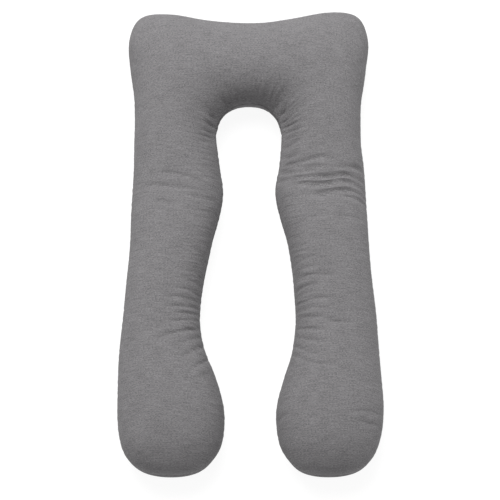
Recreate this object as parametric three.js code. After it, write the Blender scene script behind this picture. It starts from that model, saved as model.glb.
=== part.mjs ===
// A U-shaped full-body pillow, stuffed and lying on its back. Two knitted panels are sewn together along the
// outline: a head with two soft corners, an arch below it, and two legs that end in round feet.
// Millimetres, +Z up, +Y towards the head. The origin is in the middle of the footprint, at its lowest.
import * as THREE from "three";
import { ParametricGeometry } from "three/addons/geometries/ParametricGeometry.js";
import { mergeVertices } from "three/addons/utils/BufferGeometryUtils.js";

// Driving dimensions of a full section, which each section's own fill scales.
const SEAM_HEIGHT = 84; // the sewn edge, above the surface that the pillow lies on
const CROWN = 104; // swell of the upper panel above the sewn edge
const SOLE = 130; // sag of the lower panel below the sewn edge, if nothing were under it
const ROLL = 18; // depth over which the lower panel rolls flat onto the surface
const WIDTH_ROUND = 2.2; // exponent of a section's oval across it: 2 is an ellipse, and more is squarer
const SOLE_ROUND = 2.2; // the same exponent for the swell of the lower panel
const CREASE_WIDTH = 9; // from the bottom of a crease to its brim

// Mesh steps.
const UPPER_STEPS = 16; // facets across the upper panel
const LOWER_TURNS = [15, 30, 45, 60, 120, 135, 150, 165, 180]; // degrees, none of them on the flat underside
const PLAIN_STEP = 26; // between sections where the cloth is smooth
const CREASED_STEP = 9; // between sections where it is creased
const CREASE_MARGIN = 12; // how far the close sections reach past a crease
const MEASURING_STEPS = 40; // samples from one row of the tables to the next, to measure along the edges
const NUDGE = 0.001; // of a station or a turn, to find which way the cover faces
const WELD = 0.01; // points closer than this are one

// Sections straight across both legs, from the toes up to the arch: the x of the four sewn edges, the fill,
// how round the upper panel swells from its outer and its inner edge, where less is slacker, and where the
// crown lies on the way from the inner edge to the outer one.
const LEG_SECTIONS = [
  [-719, -232, -232, 233, 233, 0, 2.2, 2.2, 0.5],
  [-706, -314, -151, 152, 311, 0.53, 2.2, 2.2, 0.5],
  [-667, -361, -106, 109, 358, 0.83, 2.2, 2.2, 0.5],
  [-614, -383, -80, 82, 382, 1.02, 2.2, 2.2, 0.5],
  [-527, -393, -74, 76, 393, 1.1, 2.2, 2.2, 0.5],
  [-431, -391, -98, 98, 390, 1.06, 2.2, 2.2, 0.5],
  [-341, -387, -133, 125, 384, 0.99, 2.2, 2.2, 0.5],
  [-249, -380, -149, 136, 378, 0.95, 2.2, 2.2, 0.5],
  [-142, -371, -141, 130, 367, 0.95, 2.2, 2.2, 0.5],
  [-18, -361, -116, 113, 357, 0.96, 2.2, 2.2, 0.5],
  [66, -358, -93, 90, 353, 0.95, 2.2, 1.9, 0.53],
  [147, -356, -81, 75, 349, 0.93, 2.2, 1.6, 0.57],
  [230, -352, -91, 87, 345, 0.93, 2.2, 1.35, 0.6],
  [315, -351, -102, 95, 336, 0.96, 2.3, 1.2, 0.62],
].map(([y, leftOuter, leftInner, rightInner, rightOuter, fill, outerRound, innerRound, crownAt]) => ({
  y,
  leftOuter,
  leftInner,
  rightInner,
  rightOuter,
  stuffing: { fill, outerRound, innerRound, crownAt },
}));

// Sections that fan round the arch from the left leg to the right one: both sewn edges, and the stuffing.
const HEAD_SECTIONS = [
  [-99, 346, -352, 427, 1, 2.4, 1.2, 0.58],
  [-92, 370, -365, 534, 1.03, 2.5, 1.2, 0.48],
  [-84, 385, -373, 627, 1.05, 2.6, 1.25, 0.39],
  [-72, 400, -337, 700, 1.06, 2.6, 1.35, 0.34],
  [-57, 412, -244, 713, 1.06, 2.6, 1.45, 0.34],
  [-34, 423, -121, 692, 1.06, 2.6, 1.5, 0.37],
  [-3, 426, -3, 683, 1.06, 2.6, 1.55, 0.41],
  [28, 422, 117, 696, 1.06, 2.6, 1.5, 0.38],
  [50, 411, 240, 719, 1.06, 2.6, 1.4, 0.36],
  [64, 398, 331, 703, 1.06, 2.6, 1.25, 0.38],
  [75, 385, 365, 624, 1.05, 2.6, 1.15, 0.44],
  [84, 369, 353, 531, 1.03, 2.5, 1.1, 0.52],
  [92, 345, 338, 425, 1, 2.4, 1.1, 0.6],
].map(([innerX, innerY, outerX, outerY, fill, outerRound, innerRound, crownAt]) => ({
  innerX,
  innerY,
  outerX,
  outerY,
  stuffing: { fill, outerRound, innerRound, crownAt },
}));

// Creases in the upper panel, seen from above: both ends, how far the middle bows to the left of the way
// from the first end to the second, and the depth.
const CREASES = [
  // Right knee
  { x0: 80, y0: 223, x1: 270, y1: 220, bow: 6, depth: 5 },
  { x0: 130, y0: 206, x1: 230, y1: 199, bow: 1, depth: 3 },
  { x0: 256, y0: 198, x1: 362, y1: 199, bow: 4, depth: 4 },
  { x0: 80, y0: 198, x1: 190, y1: 192, bow: -7, depth: 4 },
  { x0: 145, y0: 176, x1: 360, y1: 166, bow: 10, depth: 6 },
  { x0: 120, y0: 164, x1: 370, y1: 132, bow: 8, depth: 7 },
  { x0: 155, y0: 114, x1: 372, y1: 113, bow: 14, depth: 6 },
  { x0: 230, y0: 113, x1: 372, y1: 90, bow: 9, depth: 4 },
  // Right ankle
  { x0: 122, y0: -143, x1: 248, y1: -136, bow: 6, depth: 3 },
  { x0: 124, y0: -172, x1: 205, y1: -160, bow: 3, depth: 3 },
  { x0: 122, y0: -214, x1: 250, y1: -206, bow: 5, depth: 4 },
  { x0: 140, y0: -257, x1: 300, y1: -280, bow: 2, depth: 4 },
  { x0: 128, y0: -285, x1: 222, y1: -302, bow: 0, depth: 4 },
  { x0: 126, y0: -306, x1: 220, y1: -338, bow: -3, depth: 4 },
  { x0: 120, y0: -326, x1: 205, y1: -376, bow: -6, depth: 4 },
  { x0: 115, y0: -358, x1: 232, y1: -408, bow: -8, depth: 4 },
  // Left knee
  { x0: -266, y0: 176, x1: -172, y1: 171, bow: 6, depth: 4 },
  { x0: -342, y0: 137, x1: -168, y1: 137, bow: 6, depth: 5 },
  { x0: -186, y0: 111, x1: -86, y1: 110, bow: 1, depth: 3 },
  { x0: -184, y0: 55, x1: -108, y1: 33, bow: 3, depth: 3 },
  // Left ankle
  { x0: -215, y0: -140, x1: -130, y1: -162, bow: 3, depth: 3 },
  { x0: -235, y0: -170, x1: -134, y1: -188, bow: 3, depth: 3 },
  { x0: -255, y0: -199, x1: -138, y1: -206, bow: 2, depth: 3 },
  { x0: -255, y0: -229, x1: -140, y1: -223, bow: 0, depth: 4 },
  { x0: -250, y0: -281, x1: -138, y1: -258, bow: 1, depth: 4 },
  { x0: -275, y0: -334, x1: -140, y1: -284, bow: 3, depth: 6 },
  { x0: -205, y0: -390, x1: -126, y1: -330, bow: 0, depth: 4 },
  { x0: -185, y0: -438, x1: -108, y1: -361, bow: 0, depth: 4 },
  // Arch
  { x0: -126, y0: 378, x1: -82, y1: 366, bow: 0, depth: 4 },
  { x0: -145, y0: 357, x1: -88, y1: 342, bow: 0, depth: 4 },
  { x0: -158, y0: 326, x1: -95, y1: 326, bow: 0, depth: 4 },
  { x0: -158, y0: 290, x1: -95, y1: 294, bow: 0, depth: 3 },
  { x0: 78, y0: 371, x1: 112, y1: 398, bow: 0, depth: 3 },
  { x0: 84, y0: 342, x1: 150, y1: 351, bow: 0, depth: 4 },
  { x0: 86, y0: 322, x1: 156, y1: 330, bow: 0, depth: 3 },
  { x0: 88, y0: 273, x1: 158, y1: 297, bow: 0, depth: 3 },
  { x0: 85, y0: 245, x1: 144, y1: 247, bow: 0, depth: 3 },
];

// One row for each section of the whole U, from the left toe over the head to the right toe.
function sectionsRoundTheU() {
  const leg = (innerKey, outerKey) =>
    LEG_SECTIONS.map((row) => ({
      innerX: row[innerKey],
      innerY: row.y,
      outerX: row[outerKey],
      outerY: row.y,
      stuffing: row.stuffing,
    }));
  return [...leg("leftInner", "leftOuter"), ...HEAD_SECTIONS, ...leg("rightInner", "rightOuter").reverse()];
}

// The row before a toe is the row after it turned over, so that the outline runs smoothly round the toe.
const turnedOver = ({ innerX, innerY, outerX, outerY, stuffing }) => ({
  innerX: outerX,
  innerY: outerY,
  outerX: innerX,
  outerY: innerY,
  stuffing: { ...stuffing, fill: -stuffing.fill },
});

const rows = sectionsRoundTheU();
const lastStation = rows.length - 1;
const paddedRows = [turnedOver(rows[1]), ...rows, turnedOver(rows[lastStation - 1])];
const curveThrough = (point) => new THREE.CatmullRomCurve3(paddedRows.map(point), false, "catmullrom", 0.5);
const innerEdge = curveThrough((row) => new THREE.Vector3(row.innerX, row.innerY, SEAM_HEIGHT));
const outerEdge = curveThrough((row) => new THREE.Vector3(row.outerX, row.outerY, SEAM_HEIGHT));
const swell = curveThrough(({ stuffing: { fill, crownAt } }) => new THREE.Vector3(fill, crownAt, 0));
const roundness = curveThrough(
  ({ stuffing: { outerRound, innerRound } }) => new THREE.Vector3(outerRound, innerRound, 0),
);

// A curve's point at a station, which counts the rows from the left toe and may lie between two of them.
const at = (curve, station) => curve.getPoint((station + 1) / (paddedRows.length - 1));

// The lower panel lies flat on the surface, and rolls up from it without a corner.
function onSurface(z) {
  if (z >= ROLL) return z;
  return z <= -ROLL ? 0 : (z + ROLL) ** 2 / (4 * ROLL);
}

const bulge = (share, round) => Math.sign(share) * Math.abs(share) ** (2 / round);

// A point of the smooth cover: the station along the U, and the turn round its section, from the outer edge
// over the crown to the inner edge and back below.
function smoothCover(station, turn) {
  const { x: fill, y: crownAt } = at(swell, station);
  const { x: outerRound, y: innerRound } = at(roundness, station);
  const upperRound = Math.cos(turn) > 0 ? outerRound : innerRound;
  const across = bulge(Math.cos(turn), WIDTH_ROUND);
  const rise = bulge(Math.sin(turn), Math.sin(turn) > 0 ? upperRound : SOLE_ROUND);
  const share = crownAt + across * (across > 0 ? 1 - crownAt : crownAt);
  const point = at(innerEdge, station).lerp(at(outerEdge, station), share);
  point.z = onSurface(SEAM_HEIGHT + rise * fill * (rise > 0 ? CROWN : SOLE));
  return point;
}

// Which way the smooth cover faces.
function facing(station, turn) {
  const along = smoothCover(station + NUDGE, turn).sub(smoothCover(station - NUDGE, turn));
  const round = smoothCover(station, turn + NUDGE).sub(smoothCover(station, turn - NUDGE));
  return round.cross(along).normalize();
}

// Height of the creases at a point of the upper panel: each is a trough with a low roll on both sides of it.
function creasing(point) {
  let height = 0;
  for (const { x0, y0, x1, y1, bow, depth } of CREASES) {
    const length = Math.hypot(x1 - x0, y1 - y0);
    const way = { x: (x1 - x0) / length, y: (y1 - y0) / length };
    const along = ((point.x - x0) * way.x + (point.y - y0) * way.y) / length;
    if (along <= 0 || along >= 1) continue;
    const fromMiddle = 2 * along - 1;
    const aside = (point.y - y0) * way.x - (point.x - x0) * way.y - bow * (1 - fromMiddle ** 2);
    const spread = (aside / CREASE_WIDTH) ** 2;
    height -= depth * (1 - fromMiddle ** 4) * (1 - spread) * Math.exp(-spread / 2);
  }
  return height;
}

// A point of the creased cover. The creases run out where the upper panel reaches the sewn edge.
function cover(station, turn) {
  const point = smoothCover(station, turn);
  const above = THREE.MathUtils.smoothstep(point.z, SEAM_HEIGHT, SEAM_HEIGHT + CROWN / 3);
  const height = above * creasing(point);
  return height === 0 ? point : point.addScaledVector(facing(station, turn), height);
}

// Whether a crease lies across the leg at this height, on this side of the pillow.
const isCreased = (x, y) =>
  CREASES.some(
    ({ x0, y0, y1 }) =>
      x * x0 > 0 && y > Math.min(y0, y1) - CREASE_MARGIN && y < Math.max(y0, y1) + CREASE_MARGIN,
  );

// Stations of the ribs: the step between them is measured along the sewn edge that is longer there.
function ribStations() {
  const samples = lastStation * MEASURING_STEPS;
  const ribsUpTo = [0];
  for (let i = 1; i <= samples; i++) {
    const [from, to] = [(i - 1) / MEASURING_STEPS, i / MEASURING_STEPS];
    const inner = at(innerEdge, to);
    const outer = at(outerEdge, to);
    const length = Math.max(inner.distanceTo(at(innerEdge, from)), outer.distanceTo(at(outerEdge, from)));
    const step = isCreased(inner.x, (inner.y + outer.y) / 2) ? CREASED_STEP : PLAIN_STEP;
    ribsUpTo.push(ribsUpTo[i - 1] + length / step);
  }
  const ribs = Math.ceil(ribsUpTo[samples]);
  const stations = [0];
  for (let i = 1; stations.length < ribs; i++) {
    const wanted = (stations.length * ribsUpTo[samples]) / ribs;
    if (ribsUpTo[i] >= wanted) stations.push(i / MEASURING_STEPS);
  }
  return [...stations, lastStation];
}

// Drops the triangles that welding has folded to a line.
function withoutSlivers(geometry) {
  const corners = geometry.index.array;
  const kept = [];
  for (let i = 0; i < corners.length; i += 3) {
    const triangle = corners.slice(i, i + 3);
    if (new Set(triangle).size === 3) kept.push(...triangle);
  }
  geometry.setIndex(kept);
  return geometry;
}

// The whole cover as one closed skin: a sheet of stations by turns, welded along its edges and at the toes.
function pillowGeometry() {
  const stations = ribStations();
  const turns = [];
  for (let i = 0; i <= UPPER_STEPS; i++) turns.push((Math.PI * i) / UPPER_STEPS);
  for (const degrees of LOWER_TURNS) turns.push(Math.PI + THREE.MathUtils.degToRad(degrees));
  const roundSteps = turns.length - 1;
  const alongSteps = stations.length - 1;
  const sheet = new ParametricGeometry(
    (u, v, target) =>
      target.copy(cover(stations[Math.round(v * alongSteps)], turns[Math.round(u * roundSteps)])),
    roundSteps,
    alongSteps,
  );
  sheet.deleteAttribute("normal");
  sheet.deleteAttribute("uv");
  return withoutSlivers(mergeVertices(sheet, WELD));
}

const jersey = new THREE.MeshStandardMaterial({ color: 0x858385, roughness: 0.95, metalness: 0 });
const pillow = new THREE.Mesh(pillowGeometry(), jersey);
pillow.name = "pillow";

const model = new THREE.Group();
model.add(pillow);
export default model;
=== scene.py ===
"""Dresses a U-shaped full-body pillow: a stuffed jersey cover with its creases, on a pale studio floor.

Metres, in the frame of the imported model: +X right, +Y towards the head, +Z up, out of the front panel.
"""

import logging
import math
from dataclasses import dataclass
from enum import Enum
from functools import cached_property
from typing import ClassVar

import bmesh
import bpy
import numpy as np
from bpy.types import NodeSocket
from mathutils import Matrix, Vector, noise


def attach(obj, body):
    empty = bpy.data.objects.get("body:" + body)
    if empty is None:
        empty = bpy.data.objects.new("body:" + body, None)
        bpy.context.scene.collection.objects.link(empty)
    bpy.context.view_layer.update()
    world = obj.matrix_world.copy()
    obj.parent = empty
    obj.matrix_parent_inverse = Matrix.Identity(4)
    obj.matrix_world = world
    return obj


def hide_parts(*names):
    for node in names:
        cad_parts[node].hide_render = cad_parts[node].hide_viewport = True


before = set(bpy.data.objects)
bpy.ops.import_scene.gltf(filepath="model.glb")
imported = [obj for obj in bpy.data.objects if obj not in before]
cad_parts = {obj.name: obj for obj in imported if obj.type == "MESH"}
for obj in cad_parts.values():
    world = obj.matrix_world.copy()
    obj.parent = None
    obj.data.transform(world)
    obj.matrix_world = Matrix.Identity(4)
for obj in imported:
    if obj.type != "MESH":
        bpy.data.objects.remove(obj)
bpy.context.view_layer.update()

log = logging.getLogger("pillow")

NODE = "pillow"
BODY = "root"
WHITE = (1.0, 1.0, 1.0, 1.0)


class Panel(Enum):
    """The two cut pieces of the cover. The value is the offset of the piece on the bolt of cloth."""

    FRONT = 0.0
    BACK = 2.5


@dataclass(frozen=True)
class LegSection:
    """A section straight across both legs: the x of the four sewn edges and how the legs are stuffed."""

    y: float
    left_outer: float
    left_inner: float
    right_inner: float
    right_outer: float
    fill: float
    outer_round: float = 2.2
    inner_round: float = 2.2
    crown_at: float = 0.5


@dataclass(frozen=True)
class HeadSection:
    """A section that fans out from the arch: its two sewn edges and how the head is stuffed there."""

    inner_x: float
    inner_y: float
    outer_x: float
    outer_y: float
    fill: float
    outer_round: float
    inner_round: float
    crown_at: float


# Columns: y, left outer, left inner, right inner, right outer, fill, outer and inner roundness, crown place
LEG_SECTIONS = (
    LegSection(-0.719, -0.232, -0.232, 0.233, 0.233, 0.00),
    LegSection(-0.706, -0.314, -0.151, 0.152, 0.311, 0.53),
    LegSection(-0.667, -0.361, -0.106, 0.109, 0.358, 0.83),
    LegSection(-0.614, -0.383, -0.080, 0.082, 0.382, 1.02),
    LegSection(-0.527, -0.393, -0.074, 0.076, 0.393, 1.10),
    LegSection(-0.431, -0.391, -0.098, 0.098, 0.390, 1.06),
    LegSection(-0.341, -0.387, -0.133, 0.125, 0.384, 0.99),
    LegSection(-0.249, -0.380, -0.149, 0.136, 0.378, 0.95),
    LegSection(-0.142, -0.371, -0.141, 0.130, 0.367, 0.95),
    LegSection(-0.018, -0.361, -0.116, 0.113, 0.357, 0.96),
    LegSection(0.066, -0.358, -0.093, 0.090, 0.353, 0.95, 2.2, 1.9, 0.53),
    LegSection(0.147, -0.356, -0.081, 0.075, 0.349, 0.93, 2.2, 1.6, 0.57),
    LegSection(0.230, -0.352, -0.091, 0.087, 0.345, 0.93, 2.2, 1.35, 0.60),
    LegSection(0.315, -0.351, -0.102, 0.095, 0.336, 0.96, 2.3, 1.2, 0.62),
)

# Columns: inner x, inner y, outer x, outer y, fill, outer and inner roundness, crown place
HEAD_SECTIONS = (
    HeadSection(-0.099, 0.346, -0.352, 0.427, 1.00, 2.4, 1.20, 0.58),
    HeadSection(-0.092, 0.370, -0.365, 0.534, 1.03, 2.5, 1.20, 0.48),
    HeadSection(-0.084, 0.385, -0.373, 0.627, 1.05, 2.6, 1.42, 0.39),
    HeadSection(-0.072, 0.400, -0.337, 0.700, 1.06, 2.6, 1.60, 0.34),
    HeadSection(-0.057, 0.412, -0.244, 0.713, 1.06, 2.6, 1.75, 0.34),
    HeadSection(-0.034, 0.423, -0.121, 0.692, 1.06, 2.6, 1.90, 0.37),
    HeadSection(-0.003, 0.426, -0.003, 0.683, 1.06, 2.6, 1.95, 0.41),
    HeadSection(0.028, 0.422, 0.117, 0.696, 1.06, 2.6, 1.80, 0.38),
    HeadSection(0.050, 0.411, 0.240, 0.719, 1.06, 2.6, 1.55, 0.36),
    HeadSection(0.064, 0.398, 0.331, 0.703, 1.06, 2.6, 1.25, 0.38),
    HeadSection(0.075, 0.385, 0.365, 0.624, 1.05, 2.6, 1.15, 0.44),
    HeadSection(0.084, 0.369, 0.353, 0.531, 1.03, 2.5, 1.10, 0.52),
    HeadSection(0.092, 0.345, 0.338, 0.425, 1.00, 2.4, 1.10, 0.60),
)


@dataclass(frozen=True)
class Crease:
    """A crease across the front panel, seen from above: a soft trough with a sharp nip along its bottom.

    Its strength wavers along its length by `waver` about `evenness`, and fades at its ends: the higher the
    `fade_power`, the later. `rolls` is the height of the cloth beside the trough, as a share of its depth.
    """

    depth: float
    width: float
    points: tuple[tuple[float, float], ...]
    line_samples: int = 12
    evenness: float = 0.9
    waver: float = 0.12
    waver_rate: float = 90.0
    waver_shift: float = 400.0
    fade_power: int = 3
    rolls: float = 0.2
    rolls_spread: float = 5.0
    nip_sharpness: float = 1.4

    @cached_property
    def line(self) -> np.ndarray:
        """A smooth line through the points.

        Returns:
            Points from left to right, one row each.
        """
        given = np.array(self.points)
        shares = np.linspace(0, len(given) - 1, self.line_samples * len(given))
        before, after = 2 * given[0] - given[1], 2 * given[-1] - given[-2]
        return smooth_curve(np.vstack([before, given, after]), shares)

    def aside(self, points: np.ndarray) -> np.ndarray:
        """How far points lie from the crease, measured across it.

        Args:
            points: Points of the cover, one row each.

        Returns:
            One distance for each point, in crease widths.
        """
        x, y = self.line.T
        slope = np.interp(points[:, 0], x, np.gradient(y, x))
        return (points[:, 1] - np.interp(points[:, 0], x, y)) / np.hypot(1, slope) / self.width

    def strength(self, points: np.ndarray) -> np.ndarray:
        """How strong the crease is beside each point: it wavers along its length and fades at its ends.

        Args:
            points: Points of the cover, one row each.

        Returns:
            One share for each point, from 0 to about 1.
        """
        x, y = self.line.T
        along = np.clip((points[:, 0] - x[0]) / (x[-1] - x[0]), 0, 1)
        wave = np.sin(self.waver_rate * points[:, 0] + self.waver_shift * y[0])
        return (1 - np.abs(2 * along - 1) ** self.fade_power) * (self.evenness + self.waver * wave)

    def trough(self, points: np.ndarray) -> np.ndarray:
        """Height of the soft trough, with a low roll of cloth on both sides.

        Args:
            points: Points of the cover, one row each.

        Returns:
            One height for each point.
        """
        spread = self.aside(points) ** 2 / 2
        profile = np.exp(-spread) - self.rolls * np.exp(-spread / self.rolls_spread)
        return -self.depth * self.strength(points) * profile

    def nip(self, points: np.ndarray) -> np.ndarray:
        """Height of the sharp fold along the bottom of the trough."""
        return -self.depth * self.strength(points) * np.exp(-self.nip_sharpness * np.abs(self.aside(points)))


# Columns: depth, width, points from left to right
MAIN_CREASES = (
    # Right knee
    Crease(0.0070, 0.0058, ((0.075, 0.215), (0.104, 0.222), (0.153, 0.223), (0.206, 0.232), (0.252, 0.225))),
    Crease(0.0060, 0.0050, ((0.075, 0.203), (0.104, 0.207), (0.127, 0.211), (0.155, 0.212))),
    Crease(0.0050, 0.0050, ((0.130, 0.206), (0.160, 0.205), (0.200, 0.203), (0.230, 0.199))),
    Crease(0.0085, 0.0055, ((0.070, 0.201), (0.119, 0.195), (0.145, 0.193), (0.173, 0.194), (0.195, 0.195))),
    Crease(0.0055, 0.0052, ((0.070, 0.174), (0.100, 0.172), (0.118, 0.170), (0.138, 0.171), (0.155, 0.173))),
    Crease(0.0090, 0.0055, ((0.122, 0.175), (0.205, 0.170), (0.244, 0.171), (0.294, 0.177), (0.360, 0.163))),
    Crease(0.0105, 0.0058, ((0.095, 0.158), (0.207, 0.147), (0.262, 0.156), (0.305, 0.156), (0.370, 0.130))),
    Crease(0.0090, 0.0060, ((0.150, 0.112), (0.204, 0.116), (0.244, 0.123), (0.305, 0.130), (0.372, 0.112))),
    Crease(0.0065, 0.0055, ((0.230, 0.113), (0.280, 0.113), (0.310, 0.110), (0.338, 0.103), (0.372, 0.090))),
    Crease(0.0060, 0.0055, ((0.256, 0.198), (0.286, 0.202), (0.319, 0.203), (0.362, 0.199))),
    Crease(0.0030, 0.0050, ((0.160, 0.045), (0.195, 0.046), (0.250, 0.050))),
    Crease(0.0030, 0.0050, ((0.258, 0.050), (0.305, 0.047), (0.345, 0.040))),
    # Right ankle
    Crease(0.0030, 0.0042, ((0.115, -0.100), (0.150, -0.085), (0.195, -0.079))),
    Crease(0.0035, 0.0042, ((0.120, -0.124), (0.155, -0.110), (0.205, -0.104))),
    Crease(0.0045, 0.0042, ((0.122, -0.143), (0.168, -0.132), (0.209, -0.132), (0.248, -0.136))),
    Crease(0.0040, 0.0042, ((0.124, -0.172), (0.164, -0.164), (0.205, -0.160))),
    Crease(0.0035, 0.0042, ((0.126, -0.190), (0.163, -0.186), (0.200, -0.184))),
    Crease(0.0050, 0.0042, ((0.122, -0.214), (0.167, -0.206), (0.197, -0.203), (0.250, -0.206))),
    Crease(0.0035, 0.0042, ((0.126, -0.234), (0.170, -0.231), (0.225, -0.234))),
    Crease(0.0050, 0.0042, ((0.140, -0.257), (0.208, -0.261), (0.240, -0.275), (0.300, -0.280))),
    Crease(0.0045, 0.0042, ((0.128, -0.285), (0.178, -0.293), (0.222, -0.302))),
    Crease(0.0050, 0.0042, ((0.126, -0.306), (0.178, -0.328), (0.220, -0.338))),
    Crease(0.0050, 0.0042, ((0.120, -0.326), (0.160, -0.359), (0.205, -0.376))),
    Crease(0.0050, 0.0042, ((0.115, -0.358), (0.162, -0.391), (0.189, -0.401), (0.232, -0.408))),
    # Right foot
    Crease(0.0035, 0.0060, ((0.070, -0.565), (0.093, -0.555), (0.115, -0.546))),
    Crease(0.0035, 0.0060, ((0.282, -0.552), (0.327, -0.543), (0.361, -0.543), (0.395, -0.550))),
    Crease(0.0035, 0.0060, ((0.290, -0.575), (0.339, -0.575), (0.390, -0.586))),
    # Left knee
    Crease(0.0055, 0.0052, ((-0.285, 0.176), (-0.240, 0.182), (-0.178, 0.169), (-0.135, 0.157))),
    Crease(0.0058, 0.0055, ((-0.345, 0.137), (-0.290, 0.147), (-0.250, 0.140), (-0.145, 0.130))),
    Crease(0.0045, 0.0050, ((-0.225, 0.121), (-0.167, 0.113), (-0.143, 0.108), (-0.095, 0.101))),
    Crease(0.0038, 0.0050, ((-0.290, 0.100), (-0.247, 0.089), (-0.200, 0.089))),
    Crease(0.0030, 0.0050, ((-0.175, 0.068), (-0.131, 0.067), (-0.095, 0.062))),
    Crease(0.0030, 0.0060, ((-0.184, 0.055), (-0.150, 0.047), (-0.108, 0.033))),
    # Left ankle
    Crease(0.0035, 0.0042, ((-0.200, -0.116), (-0.165, -0.122), (-0.128, -0.138))),
    Crease(0.0045, 0.0042, ((-0.215, -0.140), (-0.175, -0.147), (-0.130, -0.162))),
    Crease(0.0045, 0.0042, ((-0.235, -0.170), (-0.190, -0.175), (-0.134, -0.188))),
    Crease(0.0045, 0.0042, ((-0.255, -0.199), (-0.200, -0.200), (-0.138, -0.206))),
    Crease(0.0050, 0.0042, ((-0.255, -0.229), (-0.196, -0.227), (-0.140, -0.223))),
    Crease(0.0045, 0.0042, ((-0.225, -0.250), (-0.180, -0.246), (-0.140, -0.241))),
    Crease(0.0050, 0.0042, ((-0.250, -0.281), (-0.196, -0.268), (-0.138, -0.258))),
    Crease(0.0070, 0.0045, ((-0.275, -0.334), (-0.235, -0.314), (-0.199, -0.302), (-0.140, -0.284))),
    Crease(0.0045, 0.0042, ((-0.215, -0.344), (-0.175, -0.326), (-0.132, -0.305))),
    Crease(0.0050, 0.0042, ((-0.205, -0.390), (-0.165, -0.359), (-0.126, -0.330))),
    Crease(0.0055, 0.0042, ((-0.185, -0.438), (-0.148, -0.401), (-0.108, -0.361))),
    Crease(0.0040, 0.0042, ((-0.180, -0.458), (-0.149, -0.439), (-0.114, -0.418))),
    # Arch
    Crease(0.0050, 0.0045, ((-0.096, 0.426), (-0.072, 0.413), (-0.050, 0.402))),
    Crease(0.0070, 0.0045, ((-0.126, 0.378), (-0.104, 0.372), (-0.082, 0.366))),
    Crease(0.0060, 0.0045, ((-0.145, 0.357), (-0.116, 0.349), (-0.088, 0.342))),
    Crease(0.0050, 0.0045, ((-0.158, 0.326), (-0.128, 0.326), (-0.095, 0.326))),
    Crease(0.0050, 0.0045, ((-0.156, 0.308), (-0.128, 0.310), (-0.095, 0.310))),
    Crease(0.0045, 0.0045, ((-0.158, 0.290), (-0.126, 0.293), (-0.095, 0.294))),
    Crease(0.0050, 0.0045, ((0.058, 0.390), (0.072, 0.401), (0.086, 0.413))),
    Crease(0.0050, 0.0045, ((0.078, 0.371), (0.094, 0.382), (0.112, 0.398))),
    Crease(0.0050, 0.0045, ((0.080, 0.358), (0.102, 0.362), (0.126, 0.367))),
    Crease(0.0060, 0.0045, ((0.084, 0.342), (0.116, 0.346), (0.150, 0.351))),
    Crease(0.0050, 0.0045, ((0.086, 0.322), (0.120, 0.326), (0.156, 0.330))),
    Crease(0.0045, 0.0045, ((0.088, 0.303), (0.116, 0.306), (0.142, 0.308))),
    Crease(0.0050, 0.0045, ((0.088, 0.273), (0.124, 0.285), (0.158, 0.297))),
    Crease(0.0050, 0.0045, ((0.085, 0.245), (0.116, 0.245), (0.144, 0.247))),
)


@dataclass(frozen=True)
class Dip:
    """A wide soft hollow in the front panel, where the filling has given way at a bend."""

    x: float
    y: float
    half_width: float
    half_length: float
    depth: float

    def hollow(self, points: np.ndarray) -> np.ndarray:
        """Height of the hollow.

        Args:
            points: Points of the cover, one row each.

        Returns:
            One height for each point.
        """
        across = (points[:, 0] - self.x) / self.half_width
        along = (points[:, 1] - self.y) / self.half_length
        return -self.depth * np.exp(-across ** 2 - along ** 2)


# Columns: x, y, half width, half length, depth
KNEE_DIPS = (
    Dip(-0.215, 0.150, 0.13, 0.10, 0.006),
    Dip(0.215, 0.165, 0.13, 0.10, 0.010),
)


def smooth_curve(rows: np.ndarray, stations: np.ndarray) -> np.ndarray:
    """Points on a smooth curve through rows of numbers.

    Args:
        rows: The rows, with one more at each end to steer the curve.
        stations: Places on the curve: 0 is the second row and every whole number is the next one.

    Returns:
        One row for each station.
    """
    start = np.clip(np.floor(stations).astype(int), 0, len(rows) - 4)
    share = (stations - start)[:, None]
    before, near, far, after = (rows[start + i] for i in range(4))
    bend = 2 * before - 5 * near + 4 * far - after + share * (3 * (near - far) + after - before)
    return near + share / 2 * (far - before + share * bend)


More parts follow.
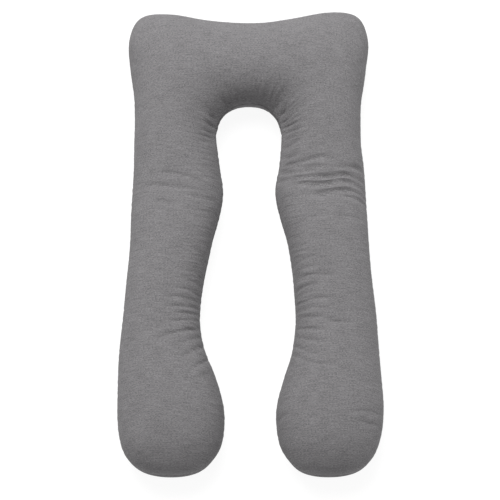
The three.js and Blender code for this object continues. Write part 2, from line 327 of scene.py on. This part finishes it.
@dataclass(frozen=True)
class PillowForm:
    """Smooth form of the stuffed cover.

    A station counts the sections from the left toe, over the head, to the right toe, and may lie between two
    of them. A turn goes round a section, from the outer sewn edge over the crown to the inner one and back.
    """

    TURNED_OVER: ClassVar[list[int]] = [2, 3, 0, 1, 4, 5, 6, 7]
    FILL_COLUMN: ClassVar[int] = 4

    seam_height: float = 0.084
    crown: float = 0.104
    sole: float = 0.130
    roll: float = 0.018
    width_round: float = 2.2
    sole_round: float = 2.2

    @cached_property
    def rows(self) -> np.ndarray:
        """The sections along the U as plain numbers.

        Returns:
            A row for each section: inner x, y, outer x, y, fill, outer and inner roundness, crown place.
        """
        left = [(s.left_inner, s.y, s.left_outer, s.y, *self.stuffing(s)) for s in LEG_SECTIONS]
        head = [(s.inner_x, s.inner_y, s.outer_x, s.outer_y, *self.stuffing(s)) for s in HEAD_SECTIONS]
        right = [(s.right_inner, s.y, s.right_outer, s.y, *self.stuffing(s)) for s in LEG_SECTIONS]
        return np.array(left + head + right[::-1])

    @staticmethod
    def stuffing(section: LegSection | HeadSection) -> tuple[float, ...]:
        """The columns of a section that say how it is stuffed."""
        return section.fill, section.outer_round, section.inner_round, section.crown_at

    @property
    def last_station(self) -> int:
        """Station of the right toe."""
        return len(self.rows) - 1

    @property
    def pressed_height(self) -> float:
        """Height of the rolled sole where the sole would meet the floor if it were not pressed flat."""
        return self.roll / 4

    def sections(self, stations: np.ndarray) -> np.ndarray:
        """Sections at any stations.

        The row beyond a toe is the row before it turned over, so the outline runs smoothly round the toe.

        Args:
            stations: Places along the U.

        Returns:
            One row for each station, with the columns of `rows`.
        """
        beyond = self.rows[[1, -2]][:, self.TURNED_OVER]
        beyond[:, self.FILL_COLUMN] *= -1
        return smooth_curve(np.vstack([beyond[0], self.rows, beyond[1]]), stations)

    def cover(self, stations: np.ndarray, turns: np.ndarray) -> np.ndarray:
        """Points of the smooth cover.

        Args:
            stations: Places along the U.
            turns: Places round each section, in radians.

        Returns:
            An array of stations by turns by x, y and z.
        """
        columns = (column[:, None] for column in self.sections(stations).T)
        inner_x, inner_y, outer_x, outer_y, fill, outer_round, inner_round, crown_at = columns
        cosine, sine = np.cos(turns), np.sin(turns)
        front_round = np.where(cosine > 0, outer_round, inner_round)
        across = np.sign(cosine) * np.abs(cosine) ** (2 / self.width_round)
        rise = np.sign(sine) * np.abs(sine) ** (2 / np.where(sine > 0, front_round, self.sole_round))
        share = crown_at + across * np.where(across > 0, 1 - crown_at, crown_at)
        height = self.seam_height + rise * fill * np.where(rise > 0, self.crown, self.sole)
        # Lower than the depth of the roll, the sole bends flat onto the floor along a parabola
        rolled = np.where(height > -self.roll, (height + self.roll) ** 2 / (4 * self.roll), 0)
        x = inner_x + (outer_x - inner_x) * share
        y = inner_y + (outer_y - inner_y) * share
        return np.stack([x, y, np.where(height < self.roll, rolled, height)], axis=-1)


@dataclass(frozen=True)
class HeatherJersey:
    """Finish of the cover: a knitted jersey of dark and pale grey fibres, matt with a soft nap."""

    dark: tuple[float, float, float] = (0.0910, 0.0885, 0.0908)
    pale: tuple[float, float, float] = (0.230, 0.2235, 0.2295)
    roughness: float = 0.92
    specular: float = 0.15
    nap: float = 0.03
    nap_roughness: float = 0.45
    streak_length: float = 0.040
    streak_height: float = 0.0016
    fibre_length: float = 0.0055
    fibre_height: float = 0.0013
    cloud_length: float = 0.070
    cloud_height: float = 0.035
    streak_share: float = 0.95
    fibre_share: float = 1.8
    cloud_share: float = 0.16
    darkening: float = -0.96
    grain_detail: float = 1.0
    cell_turn: float = math.radians(45)
    course: float = 0.0022
    wale: float = 0.0017
    knit_share: float = 0.25
    relief: float = 0.0004

    def material(self) -> bpy.types.Material:
        """Builds the material, which reads the cut panel's own map.

        Returns:
            The jersey material.
        """
        made = bpy.data.materials.new("heather_jersey")
        made.use_nodes = True
        nodes = made.node_tree.nodes
        links = made.node_tree.links
        shader = nodes["Principled BSDF"]
        shader.inputs["Roughness"].default_value = self.roughness
        shader.inputs["Specular IOR Level"].default_value = self.specular
        shader.inputs["Sheen Weight"].default_value = self.nap
        shader.inputs["Sheen Roughness"].default_value = self.nap_roughness
        panel = nodes.new("ShaderNodeUVMap")
        panel.uv_map = PillowCover.PANEL_MAP

        def grain(length: float, height: float, detail: float) -> NodeSocket:
            """Adds a cloudy noise that is stretched along the courses of the knit.

            Its cells are turned, so that they don't line up in columns.

            Args:
                length: Size of the clouds along the courses.
                height: Size of the clouds across the courses.
                detail: How much finer noise is mixed in.

            Returns:
                The noise, from 0 to 1.
            """
            stretch = nodes.new("ShaderNodeMapping")
            stretch.inputs["Scale"].default_value = (1 / length, 1 / height, 1)
            stretch.inputs["Rotation"].default_value = (0, 0, self.cell_turn)
            links.new(panel.outputs["UV"], stretch.inputs["Vector"])
            cloud = nodes.new("ShaderNodeTexNoise")
            cloud.noise_dimensions = "2D"
            cloud.inputs["Scale"].default_value = 1
            cloud.inputs["Detail"].default_value = detail
            links.new(stretch.outputs["Vector"], cloud.inputs["Vector"])
            return cloud.outputs[0]

        def combine(operation: str, first: NodeSocket | float, second: NodeSocket | float) -> NodeSocket:
            """Puts two sockets or numbers through one sum.

            Args:
                operation: The kind of sum.
                first: Its first socket or number.
                second: Its second socket or number.

            Returns:
                The result.
            """
            step = nodes.new("ShaderNodeMath")
            step.operation = operation
            for socket, value in zip(step.inputs, (first, second)):
                if isinstance(value, NodeSocket):
                    links.new(value, socket)
                else:
                    socket.default_value = value
            return step.outputs[0]

        streaks = grain(self.streak_length, self.streak_height, self.grain_detail)
        fibres = grain(self.fibre_length, self.fibre_height, self.grain_detail)
        clouds = grain(self.cloud_length, self.cloud_height, self.grain_detail)
        parts = (streaks, fibres, clouds)
        shares = (self.streak_share, self.fibre_share, self.cloud_share)
        melange = self.darkening
        for part, share in zip(parts, shares):
            melange = combine("ADD", melange, combine("MULTIPLY", part, share))
        blend = nodes.new("ShaderNodeMix")
        blend.data_type = "RGBA"
        blend.inputs["A"].default_value = (*self.dark, 1)
        blend.inputs["B"].default_value = (*self.pale, 1)
        links.new(melange, blend.inputs["Factor"])
        links.new(blend.outputs["Result"], shader.inputs["Base Color"])

        loops = grain(self.wale, self.course, detail=0.0)
        knit = combine("MULTIPLY", loops, self.knit_share)
        height = combine("ADD", knit, streaks)
        bump = nodes.new("ShaderNodeBump")
        bump.inputs["Strength"].default_value = 1.0
        bump.inputs["Distance"].default_value = self.relief
        links.new(height, bump.inputs["Height"])
        links.new(bump.outputs["Normal"], shader.inputs["Normal"])
        return made


@dataclass
class PillowCover:
    """The stuffed cover: two sewn panels, swollen by their filling and creased where the legs bend."""

    PANEL_MAP: ClassVar[str] = "panel"
    ALONG_EDGE: ClassVar[str] = "along_edge"
    FROM_EDGE: ClassVar[str] = "from_edge"
    GATHER: ClassVar[str] = "gather"
    HELD: ClassVar[str] = "held"

    form: PillowForm
    finish: HeatherJersey
    fill: float = 0.85

    # Mesh
    rib_step: float = 0.006
    rib_samples: int = 60
    upper_facets: int = 28
    lower_facets: int = 10
    seam_lines: tuple[float, ...] = (0.02, 0.05)
    weld: float = 1e-5

    # Courses of the knit
    course_bow: float = 0.5
    head_bow_rate: float = 1.8
    head_bow_from: float = 0.19
    head_bow_y: float = 0.25
    head_bow_fade: float = 0.25

    # Creases and filling
    crease_run_out: float = 1 / 3
    nip_share: float = 0.5
    start_inset: float = 0.0009
    grip_depth: float = 0.0012
    pressure: float = 4.0
    frames: int = 20
    cloth_quality: int = 6
    cloth_mass: float = 0.3
    stretch_stiffness: float = 5.0
    shear_stiffness: float = 2.0
    bending_stiffness: float = 0.2
    swell_cap: float = 0.005

    # Lumps and crumpled cloth
    lump_size: float = 0.11
    lump_height: float = 0.0022
    crumple_size: tuple[float, float, float] = (0.045, 0.011, 0.045)
    crumple_height: float = 0.0011
    crumple_reach: float = 4.0

    # Gathers beside the seam
    gather_pitch: float = 0.009
    gather_run: float = 0.15
    gather_reach: float = 0.07
    gather_height: float = 0.0032
    gather_floor: float = 0.2
    outer_gathers: float = 0.5
    inner_shift: float = 5.0
    foot_gathers: float = 0.1
    foot_y: float = -0.62
    foot_fade: float = 0.15

    # Seam
    seam_groove: float = 0.0045
    seam_width: float = 0.0035
    pucker_pitch: float = 0.011
    pucker_height: float = 0.0014
    pucker_reach: float = 0.014

    def build(self) -> bpy.types.Object:
        """Builds, stuffs, creases and dresses the cover.

        Returns:
            The finished piece.
        """
        piece = self.sewn()
        self.stuff(piece)
        self.round_off(piece)
        self.soften(piece)
        piece.data.materials.append(self.finish.material())
        piece.data.shade_smooth()
        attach(piece, BODY)
        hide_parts(NODE)
        return piece

    @cached_property
    def upper_turns(self) -> np.ndarray:
        """Turns of the lengthwise lines of the front panel, closer together beside the seams.

        Returns:
            Turns from the outer seam to the inner one, in radians.
        """
        even = np.linspace(0, math.pi, self.upper_facets + 1)
        beside = np.array(self.seam_lines)
        return np.sort(np.concatenate([even, beside, math.pi - beside]))

    @cached_property
    def turns(self) -> np.ndarray:
        """Turns of all lengthwise lines: over the front panel, then back under the back panel.

        Returns:
            Turns of the whole way round, in radians. The last one meets the first.
        """
        even = np.linspace(math.pi, 2 * math.pi, self.lower_facets + 1)[1:]
        beside = np.array(self.seam_lines)
        lower = np.sort(np.concatenate([even, math.pi + beside, 2 * math.pi - beside]))
        return np.concatenate([self.upper_turns, lower])

    @cached_property
    def stations(self) -> np.ndarray:
        """Stations of the ribs, evenly spaced midway between the two sewn edges.

        Returns:
            Stations from the left toe to the right one.
        """
        fine = np.linspace(0, self.form.last_station, self.rib_samples * self.form.last_station + 1)
        run = self.runs(fine).mean(axis=1)
        return np.interp(np.linspace(0, run[-1], math.ceil(run[-1] / self.rib_step) + 1), run, fine)

    def runs(self, stations: np.ndarray) -> np.ndarray:
        """How far stations lie from the left toe along the sewn edges.

        Args:
            stations: Places along the U.

        Returns:
            For each station the length along the inner edge and along the outer one.
        """
        edges = np.diff(self.form.sections(stations)[:, :4], axis=0).reshape(-1, 2, 2)
        return np.vstack([[0, 0], np.cumsum(np.linalg.norm(edges, axis=2), axis=0)])

    @staticmethod
    def arcs(points: np.ndarray) -> np.ndarray:
        """How far points lie from the outer seam, round their section and over the cloth.

        Args:
            points: Points of the smooth cover, ribs by turns.

        Returns:
            A length for each point.
        """
        steps = np.linalg.norm(np.diff(points, axis=1), axis=2)
        return np.concatenate([np.zeros((len(points), 1)), np.cumsum(steps, axis=1)], axis=1)

    def panels(self, points: np.ndarray) -> dict[Panel, np.ndarray]:
        """Where the points lie on the two cut panels: along the courses of the knit, and across them.

        Args:
            points: Points of the smooth cover, ribs by turns.

        Returns:
            For each panel an array of ribs by turns by two.
        """
        sections = self.form.sections(self.stations)
        outward = sections[:, 2:4] - sections[:, 0:2]
        length = np.linalg.norm(outward, axis=1, keepdims=True)
        outward = np.where(length > self.weld, outward / np.maximum(length, self.weld), [1, 0])
        arcs = self.arcs(points)
        front_middle = len(self.upper_turns) // 2
        back_middle = (len(self.upper_turns) + len(self.turns)) // 2 - 1
        laid = {}
        for panel, middle, sign in ((Panel.FRONT, front_middle, -1), (Panel.BACK, back_middle, 1)):
            ridge = points[:, middle]
            step = np.diff(ridge, axis=0)
            climb = np.linalg.norm(step, axis=1) - np.linalg.norm(step[:, :2], axis=1)
            climbed = np.concatenate([[0], np.cumsum(climb)])
            ridge = ridge[:, :2] - np.stack([0 * climbed, np.abs(climbed - climbed[-1] / 2)], axis=1)
            arc = sign * (arcs - arcs[:, middle, None])
            flat = ridge[:, None] + outward[:, None] * arc[..., None]
            flat[..., 1] += self.course_bow * arc ** 2 + self.head_bow(flat)
            laid[panel] = flat + [panel.value, 0]
        return laid

    def head_bow(self, flat: np.ndarray) -> np.ndarray:
        """How far the courses of the knit bend down towards the sides of the head.

        Args:
            flat: Places on a cut panel.

        Returns:
            A length for each place.
        """
        aside = np.clip(np.abs(flat[..., 0]) - self.head_bow_from, 0, None)
        headwards = np.clip((flat[..., 1] - self.head_bow_y) / self.head_bow_fade, 0, 1)
        return self.head_bow_rate * aside ** 2 * headwards

    def sewn(self) -> bpy.types.Object:
        """Sews the cover: a grid rolled into a tube along the U, welded at its edge and at the toes.

        Returns:
            The smooth cover, with the map of its panels and the notes about its edges.
        """
        points = self.form.cover(self.stations, self.turns)
        panels = self.panels(points)
        last_rib = len(self.stations) - 1
        last_turn = len(self.turns) - 1
        mesh = bmesh.new()
        bmesh.ops.create_grid(mesh, x_segments=last_turn, y_segments=last_rib, size=1)
        layer = mesh.loops.layers.uv.new(self.PANEL_MAP)
        notes = self.edge_notes(points)
        for name in notes:
            mesh.verts.layers.float.new(name)
        place = {}
        for vert in mesh.verts:
            turn = round((vert.co.x + 1) / 2 * last_turn)
            rib = round((vert.co.y + 1) / 2 * last_rib)
            place[vert] = (rib, turn)
            vert.co = points[rib, turn]
            for name, values in notes.items():
                vert[mesh.verts.layers.float[name]] = values[rib, turn]
        for face in mesh.faces:
            front = max(place[vert][1] for vert in face.verts) < len(self.upper_turns)
            laid = panels[Panel.FRONT if front else Panel.BACK]
            for loop in face.loops:
                loop[layer].uv = laid[place[loop.vert]]
        bmesh.ops.remove_doubles(mesh, verts=mesh.verts, dist=self.weld)
        bmesh.ops.recalc_face_normals(mesh, faces=mesh.faces)
        data = bpy.data.meshes.new("pillow_cover")
        mesh.to_mesh(data)
        mesh.free()
        piece = bpy.data.objects.new("pillow_cover", data)
        bpy.context.scene.collection.objects.link(piece)
        return piece

    def edge_notes(self, points: np.ndarray) -> dict[str, np.ndarray]:
        """How far points lie along the nearer sewn edge and from it, and how strongly cloth gathers there.

        Args:
            points: Points of the smooth cover, ribs by turns.

        Returns:
            For each kind of note an array of ribs by turns.
        """
        arcs = self.arcs(points)
        inner_seam = len(self.upper_turns) - 1
        from_seam = np.minimum(np.abs(arcs - arcs[:, [inner_seam]]), np.minimum(arcs, arcs[:, [-1]] - arcs))
        runs = self.runs(self.stations)
        inner = np.cos(self.turns) < 0
        along = np.where(inner, runs[:, [0]] + self.inner_shift, runs[:, [1]])
        from_foot = (points[..., 1].mean(axis=1, keepdims=True) - self.foot_y) / self.foot_fade
        feet = np.clip(from_foot, self.foot_gathers, 1)
        strength = np.where(inner, 1, self.outer_gathers) * self.gathering(from_seam) * feet
        return {self.ALONG_EDGE: along, self.FROM_EDGE: from_seam, self.GATHER: strength}

    def gathering(self, from_seam: np.ndarray) -> np.ndarray:
        """How strongly cloth gathers at a distance from the seam: not in the outline, most just above it.

        Args:
            from_seam: Distances from the seam, over the cloth.

        Returns:
            A share for each distance, from 0 to 1.
        """
        reach = (from_seam / self.gather_reach) ** 2
        return reach * np.exp(1 - reach)

    def upper(self, points: np.ndarray) -> np.ndarray:
        """Share of the creases that a point takes: none at the sewn edge and below it, all near the crown.

        Args:
            points: Points of the cover, one row each.

        Returns:
            A share for each point, from 0 to 1.
        """
        run_out = self.form.crown * self.crease_run_out
        share = np.clip((points[:, 2] - self.form.seam_height) / run_out, 0, 1)
        return share * share * (3 - 2 * share)

    def stuff(self, piece: bpy.types.Object) -> None:
        """Presses the main creases in and swells the cloth between them, with the floor and the seam held.

        Args:
            piece: The sewn cover, whose mesh is changed.
        """
        points, normals = mesh_points(piece)
        troughs = sum(crease.trough(points) for crease in MAIN_CREASES) * self.upper(points)
        grip = np.clip(-troughs / self.grip_depth, 0, 1)
        grip[points[:, 2] < self.form.pressed_height] = 1
        grip[np.abs(points[:, 2] - self.form.seam_height) < self.weld] = 1
        creased = points + normals * troughs[:, None]
        move_points(piece, creased)
        start = creased - normals * (self.start_inset * (1 - grip))[:, None]
        move_points(piece, start)
        held = piece.vertex_groups.new(name=self.HELD)
        for index in np.flatnonzero(grip):
            held.add([int(index)], float(grip[index]), "REPLACE")
        filling = piece.modifiers.new("filling", "CLOTH")
        filling.settings.quality = self.cloth_quality
        filling.settings.mass = self.cloth_mass
        filling.settings.tension_stiffness = self.stretch_stiffness
        filling.settings.compression_stiffness = self.stretch_stiffness
        filling.settings.shear_stiffness = self.shear_stiffness
        filling.settings.bending_stiffness = self.bending_stiffness
        filling.settings.use_pressure = True
        filling.settings.uniform_pressure_force = self.pressure
        filling.settings.effector_weights.gravity = 0
        filling.settings.vertex_group_mass = self.HELD
        filling.point_cache.frame_start = 1
        filling.point_cache.frame_end = self.frames
        for step in range(1, self.frames + 1):
            bpy.context.scene.frame_set(step)
        swollen, _ = mesh_points(piece.evaluated_get(bpy.context.evaluated_depsgraph_get()))
        piece.modifiers.remove(filling)
        piece.vertex_groups.remove(held)
        bpy.context.scene.frame_set(1)
        moved = swollen - start
        distance = np.linalg.norm(moved, axis=1, keepdims=True)
        log.info("filling moved the cloth by %.1f mm at most, %.1f mm in the mean", 1000 * distance.max(),
                 1000 * distance.mean())
        move_points(piece, start + moved * np.minimum(1, self.swell_cap / np.maximum(distance, self.weld)))

    def round_off(self, piece: bpy.types.Object) -> None:
        """Rounds the facets with one subdivision, applied to the mesh.

        Args:
            piece: The stuffed cover, whose mesh is changed.
        """
        rounding = piece.modifiers.new("rounding", "SUBSURF")
        rounding.levels = 1
        rounding.render_levels = 1
        rounded = bpy.data.meshes.new_from_object(piece.evaluated_get(bpy.context.evaluated_depsgraph_get()))
        piece.modifiers.clear()
        coarse = piece.data
        piece.data = rounded
        bpy.data.meshes.remove(coarse)
        rounded.name = piece.name

    def soften(self, piece: bpy.types.Object) -> None:
        """Adds lumps and hollows, crumpled cloth, sharp folds and the seam's groove, all above the floor.

        Args:
            piece: The rounded cover, whose mesh is changed.
        """
        points, normals = mesh_points(piece)
        lumps = random_heights(points / self.lump_size)
        crumples = random_heights(points / self.crumple_size)
        upper = self.upper(points)
        nips = sum(crease.nip(points) for crease in MAIN_CREASES) * upper
        bent = np.clip(sum(self.crumpling(crease, points) for crease in MAIN_CREASES), 0, 1) * upper
        above = np.clip(points[:, 2] / self.form.seam_height, 0, 1)
        along = self.noted(piece, self.ALONG_EDGE)
        from_seam = self.noted(piece, self.FROM_EDGE)
        height = self.lump_height * lumps * above + self.crumple_height * crumples * bent
        height += self.nip_share * nips - self.seam_groove * np.exp(-from_seam / self.seam_width)
        height += sum(dip.hollow(points) for dip in KNEE_DIPS) * upper
        gathers = np.abs(self.ripples(along / self.gather_pitch, from_seam / self.gather_run))
        height += self.gather_height * (gathers - self.gather_floor) * self.noted(piece, self.GATHER) * above
        puckers = self.ripples(along / self.pucker_pitch, from_seam / self.gather_run)
        height += self.pucker_height * puckers * np.exp(-(from_seam / self.pucker_reach) ** 2)
        points = points + normals * height[:, None]
        points[:, 2] = np.maximum(points[:, 2], 0)
        move_points(piece, points)

    @staticmethod
    def ripples(along: np.ndarray, across: np.ndarray) -> np.ndarray:
        """Uneven ripples of cloth.

        Args:
            along: How far along the sewn edge, in ripples.
            across: How far from the sewn edge, in lengths of a ripple.

        Returns:
            One height for each point, from -1 to 1.
        """
        return random_heights(np.stack([along, across, np.zeros_like(along)], axis=1))

    def crumpling(self, crease: Crease, points: np.ndarray) -> np.ndarray:
        """How strongly the cloth crumples beside a crease.

        Args:
            crease: The crease.
            points: Points of the cover, one row each.

        Returns:
            One share for each point.
        """
        return crease.strength(points) * np.exp(-(crease.aside(points) / self.crumple_reach) ** 2)

    def noted(self, piece: bpy.types.Object, name: str) -> np.ndarray:
        """Takes the notes of one kind off the mesh.

        Args:
            piece: The cover.
            name: Which notes.

        Returns:
            One number for each point.
        """
        notes = piece.data.attributes[name]
        values = np.empty(len(notes.data))
        notes.data.foreach_get("value", values)
        piece.data.attributes.remove(notes)
        return values


def random_heights(places: np.ndarray) -> np.ndarray:
    """Smooth random heights, the same in every run.

    Args:
        places: Where they are wanted, one row of x, y and z each, in sizes of a bump.

    Returns:
        One height for each place, from -1 to 1.
    """
    return np.array([noise.noise(Vector(place)) for place in places])


def mesh_points(piece: bpy.types.Object) -> tuple[np.ndarray, np.ndarray]:
    """Points of a piece's mesh and which way the mesh faces there.

    Args:
        piece: A mesh object.

    Returns:
        The points and the normals, one row each.
    """
    points = np.empty(3 * len(piece.data.vertices))
    normals = np.empty_like(points)
    piece.data.vertices.foreach_get("co", points)
    piece.data.vertices.foreach_get("normal", normals)
    return points.reshape(-1, 3), normals.reshape(-1, 3)


def move_points(piece: bpy.types.Object, points: np.ndarray) -> None:
    """Puts the points of a piece's mesh in new places.

    Args:
        piece: A mesh object.
        points: The new places, one row each.
    """
    piece.data.vertices.foreach_set("co", points.ravel())
    piece.data.update()


@dataclass(frozen=True)
class Softbox:
    """A large square lamp that is aimed at the pillow."""

    name: str
    place: tuple[float, float, float]
    size: float
    power: float

    def hang(self, aim: tuple[float, float, float]) -> None:
        """Hangs the lamp in its place.

        Args:
            aim: The point that the lamp shines at.
        """
        lamp = bpy.data.lights.new(self.name, "AREA")
        lamp.size = self.size
        lamp.energy = self.power
        hung = bpy.data.objects.new(self.name, lamp)
        hung.location = self.place
        hung.rotation_euler = (Vector(aim) - hung.location).to_track_quat("-Z", "Y").to_euler()
        bpy.context.scene.collection.objects.link(hung)


@dataclass(frozen=True)
class Studio:
    """Pale floor, soft light from the head end, and the camera above the feet looking down at the face."""

    floor_size: float = 150.0
    floor_drop: float = 0.0005
    floor_colour: tuple[float, float, float] = (0.15, 0.15, 0.15)
    floor_glow: float = 0.90
    sky: float = 0.47
    light_aim: tuple[float, float, float] = (0.0, 0.0, 0.1)
    # Columns: name, place, size, power
    softboxes: tuple[Softbox, ...] = (
        Softbox("key", (-1.1, 3.9, 6.0), 5.5, 676.0),
        Softbox("right fill", (4.2, -0.5, 0.5), 0.9, 25.0),
        Softbox("left fill", (-4.2, -0.8, 0.5), 0.9, 10.0),
    )
    camera_aim: tuple[float, float, float] = (-0.0003, -0.0336, 0.085)
    camera_distance: float = 7.0
    camera_tilt: float = math.radians(15)
    frame_width: float = 1.49925
    sensor_width: float = 36.0

    def build(self) -> None:
        """Makes the floor, the lights and the camera."""
        self.add_floor()
        self.add_light()
        self.add_camera()
        bpy.context.scene.view_settings.view_transform = "Standard"

    def add_floor(self) -> None:
        """Makes the plain floor, which isn't part of the object."""
        mesh = bmesh.new()
        bmesh.ops.create_grid(mesh, x_segments=1, y_segments=1, size=self.floor_size / 2)
        bmesh.ops.translate(mesh, verts=mesh.verts, vec=(0, 0, -self.floor_drop))
        data = bpy.data.meshes.new("floor")
        mesh.to_mesh(data)
        mesh.free()
        paint = bpy.data.materials.new("floor_paint")
        paint.use_nodes = True
        shader = paint.node_tree.nodes["Principled BSDF"]
        shader.inputs["Base Color"].default_value = (*self.floor_colour, 1)
        shader.inputs["Roughness"].default_value = 1.0
        shader.inputs["Specular IOR Level"].default_value = 0.0
        shader.inputs["Emission Color"].default_value = WHITE
        shader.inputs["Emission Strength"].default_value = self.floor_glow
        data.materials.append(paint)
        floor = bpy.data.objects.new("floor", data)
        bpy.context.scene.collection.objects.link(floor)

    def add_light(self) -> None:
        """Makes the even sky, the large soft key beyond the head end and a low fill on each side."""
        world = bpy.data.worlds.new("sky")
        world.use_nodes = True
        world.node_tree.nodes["Background"].inputs["Color"].default_value = WHITE
        world.node_tree.nodes["Background"].inputs["Strength"].default_value = self.sky
        bpy.context.scene.world = world
        for softbox in self.softboxes:
            softbox.hang(self.light_aim)

    def add_camera(self) -> None:
        """Makes the camera, tilted towards the feet from straight above."""
        lens = bpy.data.cameras.new("camera")
        lens.sensor_width = self.sensor_width
        lens.lens = self.sensor_width * self.camera_distance / self.frame_width
        camera = bpy.data.objects.new("camera", lens)
        back = Vector((0, -math.sin(self.camera_tilt), math.cos(self.camera_tilt)))
        camera.location = Vector(self.camera_aim) + self.camera_distance * back
        camera.rotation_euler = (self.camera_tilt, 0, 0)
        bpy.context.scene.collection.objects.link(camera)
        bpy.context.scene.camera = camera


def main() -> None:
    """Builds the studio and the pillow."""
    logging.basicConfig(level=logging.INFO, format="%(name)s: %(message)s")
    Studio().build()
    piece = PillowCover(PillowForm(), HeatherJersey()).build()
    log.info("%s: %d faces", piece.name, len(piece.data.polygons))


if __name__ == "__main__":
    main()
